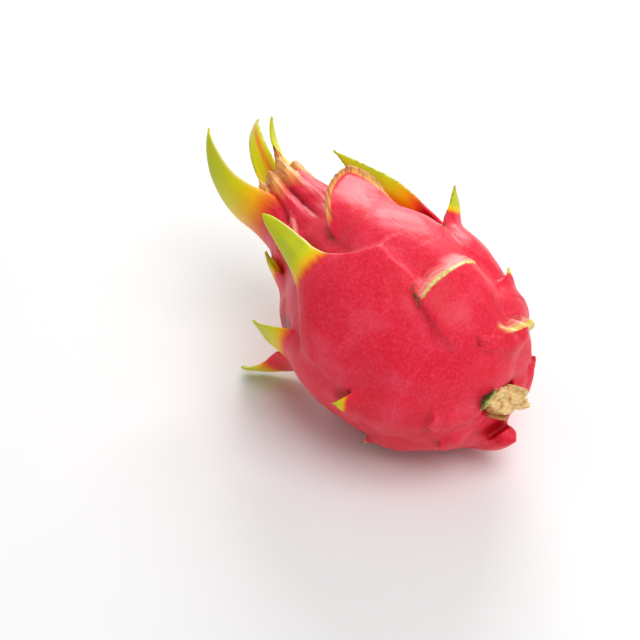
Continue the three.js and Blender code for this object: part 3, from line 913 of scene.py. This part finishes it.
# %% Helpers for node trees
class Finish:
    def __init__(self, name, **settings):
        self.material = bpy.data.materials.new(name)
        self.material.use_nodes = True
        self.tree = self.material.node_tree
        self.shader = self.tree.nodes["Principled BSDF"]
        for socket, value in settings.items():
            self.shader.inputs[socket.replace("_", " ")].default_value = value

    def node(self, kind, **inputs):
        made = self.tree.nodes.new(kind)
        for name, value in inputs.items():
            numbered = name[0] == "i" and name[1:].isdigit()
            socket = made.inputs[int(name[1:]) if numbered else name.replace("_", " ")]
            if isinstance(value, bpy.types.NodeSocket):
                self.tree.links.new(value, socket)
            else:
                socket.default_value = value
        return made

    def written(self, name, output):
        made = self.node("ShaderNodeAttribute")
        made.attribute_name = name
        return made.outputs[output]

    def number(self, name):
        return self.written(name, "Fac")

    def vector(self, name):
        return self.written(name, "Vector")

    def millimetres(self):
        place = self.node("ShaderNodeTexCoord").outputs["Object"]
        made = self.node("ShaderNodeVectorMath", i0=place, i1=(1000, 1000, 1000))
        made.operation = "MULTIPLY"
        return made.outputs["Vector"]

    def noise(self, vector, size, detail=3, rough=0.5, distort=0):
        made = self.node("ShaderNodeTexNoise", Vector=vector, Scale=1 / size, Detail=detail,
                         Roughness=rough, Distortion=distort)
        return made.outputs["Fac"]

    def math(self, operation, first, second=0.0, clamp=False):
        made = self.node("ShaderNodeMath", i0=first, i1=second)
        made.operation = operation
        made.use_clamp = clamp
        return made.outputs[0]

    def span(self, value, start, end, to_start=0.0, to_end=1.0):
        made = self.node("ShaderNodeMapRange", Value=value, From_Min=start, From_Max=end,
                         To_Min=to_start, To_Max=to_end)
        return made.outputs["Result"]

    def ramp(self, value, *stops):
        made = self.node("ShaderNodeValToRGB", Fac=value)
        entries = made.color_ramp.elements
        while len(entries) < len(stops):
            entries.new(0.5)
        for entry, (position, colour) in zip(entries, stops):
            entry.position = position
            entry.color = (*colour, 1)
        return made.outputs["Color"]

    def blend(self, share, first, second, kind="MIX"):
        made = self.node("ShaderNodeMix")
        made.data_type = "RGBA"
        made.blend_type = kind
        made.clamp_factor = True
        for index, value in ((0, share), (6, first), (7, second)):
            if isinstance(value, bpy.types.NodeSocket):
                self.tree.links.new(value, made.inputs[index])
            else:
                made.inputs[index].default_value = value if index == 0 else (*value, 1)
        return made.outputs[2]

    def bump(self, height, distance, strength=1.0, under=None):
        made = self.node("ShaderNodeBump", Height=height, Distance=distance, Strength=strength)
        if under is not None:
            self.tree.links.new(under, made.inputs["Normal"])
        return made.outputs["Normal"]

    def wear(self, piece, colour, normal=None, roughness=None):
        for name, value in (("Base Color", colour), ("Normal", normal), ("Roughness", roughness)):
            if value is not None:
                self.tree.links.new(value, self.shader.inputs[name])
        piece.data.materials.clear()
        piece.data.materials.append(self.material)


# %% [markdown]
# ## Waxy skin
# Pink to red with faint mottling, a little light from inside, and a wax that gives broad soft highlights.
# The turn to lime passes through red and orange. The dry rim goes through tan to brown.

# %% Colours of the skin
PINK = (0.80, 0.020, 0.055)
ROSE = (0.88, 0.085, 0.145)
RED = (0.70, 0.004, 0.016)
CREASE_SHADE_RED = (0.46, 0.001, 0.006)
ORANGE = (0.88, 0.15, 0.010)
AMBER = (0.92, 0.50, 0.002)
LIME = (0.72, 0.66, 0.004)
LEAF = (0.56, 0.60, 0.012)
TAN = (0.90, 0.43, 0.12)
UMBER = (0.16, 0.07, 0.02)
OLIVE = (0.12, 0.12, 0.015)
CREAM = (0.86, 0.60, 0.42)
STRAW = (0.78, 0.70, 0.25)
EMBER = (0.88, 0.20, 0.06)
BROWN = (0.60, 0.28, 0.07)
CLARET = (0.42, 0.02, 0.02)
FURROW_SHADE_RED = (0.34, 0.008, 0.02)

skin = Finish("waxy_skin", Roughness=0.4, Specular_IOR_Level=0.2, Subsurface_Weight=0.15,
              Subsurface_Scale=0.003, Subsurface_Radius=(1.0, 0.2, 0.1))
space = skin.millimetres()
streaks = skin.noise(skin.vector("grain"), 1.1, detail=4)
clouds = skin.noise(space, 13, detail=3)
mottle = skin.noise(space, 1.2, detail=4, rough=0.65)
crease_shade = skin.number("crease_shade")
flesh = skin.ramp(clouds, (0.36, RED), (0.52, PINK), (0.68, ROSE))
flesh = skin.blend(0.6, flesh, PINK)
flesh = skin.blend(skin.span(mottle, 0.48, 0.75, 0, 0.5), flesh, ROSE)
flesh = skin.blend(skin.span(mottle, 0.52, 0.3, 0, 0.5), flesh, RED)
# painted shade: creases between scales darken towards deep red
flesh = skin.blend(skin.span(crease_shade, 0.25, 0.75, 0, 0.9), flesh, CREASE_SHADE_RED)
shifted = skin.math("ADD", skin.number("ripening"), skin.span(streaks, 0.3, 0.7, -0.05, 0.05))
turned = skin.ramp(shifted, (0.0, RED), (0.22, ORANGE), (0.42, AMBER), (0.68, LIME), (1.0, LEAF))
colour = skin.blend(skin.span(shifted, 0.0, 0.2), flesh, turned)
colour = skin.blend(skin.number("stripe"), colour, ORANGE)
rim_colour = skin.ramp(streaks, (0.35, LEAF), (0.5, LIME), (0.7, STRAW))
colour = skin.blend(skin.number("rim"), colour, rim_colour)
# pale cream; on the bands past a scale's crease it is partly painted highlight
colour = skin.blend(skin.math("MULTIPLY", skin.number("pale"), 0.5), colour, CREAM)
dryness = skin.math("ADD", skin.number("dry"), skin.span(streaks, 0.3, 0.7, -0.12, 0.12))
dried = skin.ramp(dryness, (0.0, RED), (0.35, PINK), (0.6, EMBER), (0.85, TAN), (1.0, BROWN))
colour = skin.blend(skin.span(skin.number("dry"), 0.02, 0.3), colour, dried)
threads = skin.math("MULTIPLY", skin.span(streaks, 0.52, 0.64), skin.span(skin.number("dry"), 0.01, 0.2))
colour = skin.blend(skin.math("MULTIPLY", threads, 0.65), colour, CLARET)
# painted shade: the furrows between the tube's ribs darken to wine red
colour = skin.blend(skin.math("MULTIPLY", skin.number("furrow"), 0.9), colour, FURROW_SHADE_RED)
spots = skin.span(skin.noise(space, 1.6, detail=2), 0.42, 0.56)
burnt = skin.math("MULTIPLY", skin.number("burnt"), spots, clamp=True)
colour = skin.blend(burnt, colour, skin.blend(clouds, UMBER, OLIVE))
fine = skin.bump(mottle, 0.00012, 0.5)
lines = skin.bump(streaks, 0.00025, 0.35, under=fine)
skin.wear(fruit, colour, lines, skin.span(mottle, 0.3, 0.7, 0.30, 0.42))

# %% [markdown]
# ## Wood and dry petals
# The stub is cream where it is cut, with fibres, and tan to brown outside, darker in the scars. The flower
# is papery: tan at its foot and nearly black at its tips.

# %% Cut wood
wood = Finish("cut_wood", Roughness=0.75, Specular_IOR_Level=0.25)
space = wood.millimetres()
fibres = wood.noise(wood.vector("grain"), 0.55, detail=5, rough=0.6)
blots = wood.noise(space, 2.6, detail=3)
bark = wood.ramp(fibres, (0.3, (0.30, 0.10, 0.03)), (0.5, (0.60, 0.28, 0.08)), (0.68, (0.78, 0.48, 0.20)))
cream = wood.ramp(fibres, (0.3, (0.66, 0.36, 0.12)), (0.5, (0.84, 0.60, 0.26)), (0.7, (0.90, 0.74, 0.42)))
cream = wood.blend(wood.span(blots, 0.5, 0.66, 0, 0.7), cream, (0.58, 0.22, 0.05))
colour = wood.blend(wood.number("cut"), bark, cream)
scarred = wood.math("MULTIPLY", wood.number("scar"), wood.span(blots, 0.42, 0.6), clamp=True)
colour = wood.blend(scarred, colour, (0.12, 0.035, 0.015))
colour = wood.blend(wood.span(blots, 0.62, 0.72, 0, 0.5), colour, (0.42, 0.16, 0.14))
peel = wood.ramp(fibres, (0.35, (0.20, 0.36, 0.05)), (0.7, (0.5, 0.6, 0.2)))
colour = wood.blend(wood.number("green"), colour, peel)
wood.wear(stub, colour, wood.bump(fibres, 0.0004, 0.6))

# %% Dry petals
dry = Finish("dry_petals", Roughness=0.8, Specular_IOR_Level=0.25)
veins = dry.noise(dry.vector("grain"), 0.8, detail=5)
height = dry.math("ADD", dry.number("tip"), dry.span(veins, 0.3, 0.7, -0.25, 0.25))
colour = dry.ramp(height, (0.0, (0.36, 0.13, 0.05)), (0.45, (0.62, 0.32, 0.14)), (0.8, (0.66, 0.36, 0.16)),
                  (1.0, (0.30, 0.13, 0.05)))
dry.wear(flower, colour, dry.bump(veins, 0.0004, 0.7))

# %% [markdown]
# ## Camera, floor and light
# The camera stands where the photograph was taken from, the floor is plain and pale, and soft boxes above
# and behind give the broad highlights.

# %% Camera
CAMERA_AZIMUTH, CAMERA_HEIGHT = 51.15, 40.0
CAMERA_DISTANCE = 900.0
FOCAL_PIXELS, PICTURE = 2250.0, 640.0
LOOKED_AT = (0, 0, 60)
LOOKED_AT_PIXEL = (388, 311)
SENSOR = 36.0
NEAREST, FARTHEST = 0.05, 20

azimuth, height = math.radians(CAMERA_AZIMUTH), math.radians(CAMERA_HEIGHT)
back = Vector((
    math.sin(azimuth) * math.cos(height), -math.cos(azimuth) * math.cos(height), math.sin(height),
))
right = Vector((math.cos(azimuth), math.sin(azimuth), 0))
up = back.cross(right)
u = (LOOKED_AT_PIXEL[0] - PICTURE / 2) / FOCAL_PIXELS
v = -(LOOKED_AT_PIXEL[1] - PICTURE / 2) / FOCAL_PIXELS
eye = Vector(turned_over(np.array(LOOKED_AT))) + CAMERA_DISTANCE * (back - u * right - v * up)
camera = put_in_scene("camera", bpy.data.cameras.new("camera"))
camera.data.sensor_width = SENSOR
camera.data.lens = FOCAL_PIXELS / PICTURE * SENSOR
camera.data.clip_start, camera.data.clip_end = NEAREST, FARTHEST
camera.matrix_world = Matrix.Translation(eye * MM) @ Matrix((right, up, back)).transposed().to_4x4()
bpy.context.scene.camera = camera
print("camera at", [round(c, 3) for c in camera.location])

# %% Floor
FLOOR_HALF, FLOOR_BELOW = 4, 0.0003
corner_points = [(x * FLOOR_HALF, y * FLOOR_HALF, 0) for x, y in ((-1, -1), (1, -1), (1, 1), (-1, 1))]
floor_mesh = bpy.data.meshes.new("floor")
floor_mesh.from_pydata(corner_points, [], [(0, 1, 2, 3)])
floor = put_in_scene("floor", floor_mesh)
floor.location.z = -FLOOR_BELOW
paper = Finish("pale_floor", Roughness=0.9)
shades = paper.noise(paper.millimetres(), 400)
paper.wear(floor, paper.ramp(shades, (0.4, (0.82, 0.82, 0.82)), (0.6, (0.84, 0.84, 0.84))))

# %% Light
world = bpy.data.worlds.new("soft room")
bpy.context.scene.world = world
world.use_nodes = True
world.node_tree.nodes["Background"].inputs["Color"].default_value = (1, 1, 1, 1)
world.node_tree.nodes["Background"].inputs["Strength"].default_value = 0.45


def soft_box(name, place, size, power, towards=(0, 0, 0.04)):
    light = bpy.data.lights.new(name, "AREA")
    light.shape = "DISK"
    light.size = size
    light.energy = power
    made = put_in_scene(name, light)
    made.location = place
    made.rotation_euler = (Vector(towards) - Vector(place)).to_track_quat("-Z", "Y").to_euler()


soft_box("key box", (0.55, 0.05, 1.15), size=1.0, power=9)
soft_box("back box", (-0.72, 0.77, 0.55), size=0.7, power=11)
soft_box("front box", (1.1, 0.2, 0.65), size=0.8, power=1)
bpy.context.scene.view_settings.view_transform = "Standard"
